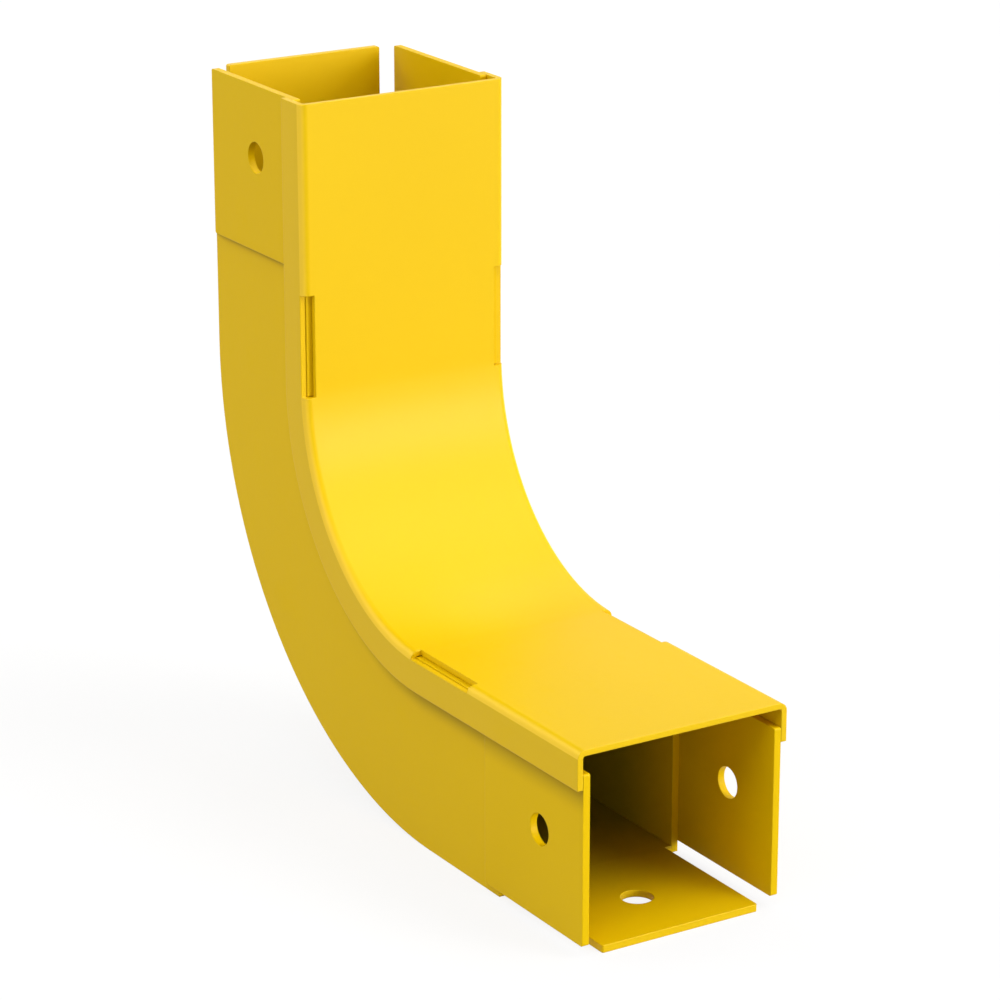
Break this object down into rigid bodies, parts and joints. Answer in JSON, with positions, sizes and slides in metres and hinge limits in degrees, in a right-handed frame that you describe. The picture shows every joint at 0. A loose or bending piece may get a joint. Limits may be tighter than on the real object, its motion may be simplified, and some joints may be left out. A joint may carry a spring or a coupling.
{
  "type": "fibre raceway elbow",
  "caption": "Right-angle elbow of a covered sheet-steel raceway for fibre cables, with a curved cover and three drilled flaps round each mouth.",
  "frame": {"origin": "centre of the hole in the lower web flap, on the inner face that the raceway's floor lies on", "axes": "+X out of the lower mouth, +Z out of the upper mouth, Y across the width, mirror plane at Y = 0"},
  "size_m": [0.1718, 0.0566, 0.1718],
  "materials": {
    "left_side_plate": "satin powder coat",
    "right_side_plate": "satin powder coat",
    "heel_wall": "satin powder coat",
    "cover": "satin powder coat",
    "lower_left_flap": "satin powder coat",
    "lower_right_flap": "satin powder coat",
    "lower_web_flap": "satin powder coat",
    "upper_left_flap": "satin powder coat",
    "upper_right_flap": "satin powder coat",
    "upper_web_flap": "satin powder coat"
  },
  "bodies": {
    "root": {"left_side_plate": "left_side_plate", "right_side_plate": "right_side_plate", "heel_wall": "heel_wall", "cover": "cover", "lower_left_flap": "lower_left_flap", "lower_right_flap": "lower_right_flap", "lower_web_flap": "lower_web_flap", "upper_left_flap": "upper_left_flap", "upper_right_flap": "upper_right_flap", "upper_web_flap": "upper_web_flap"}
  },
  "joints": []
}
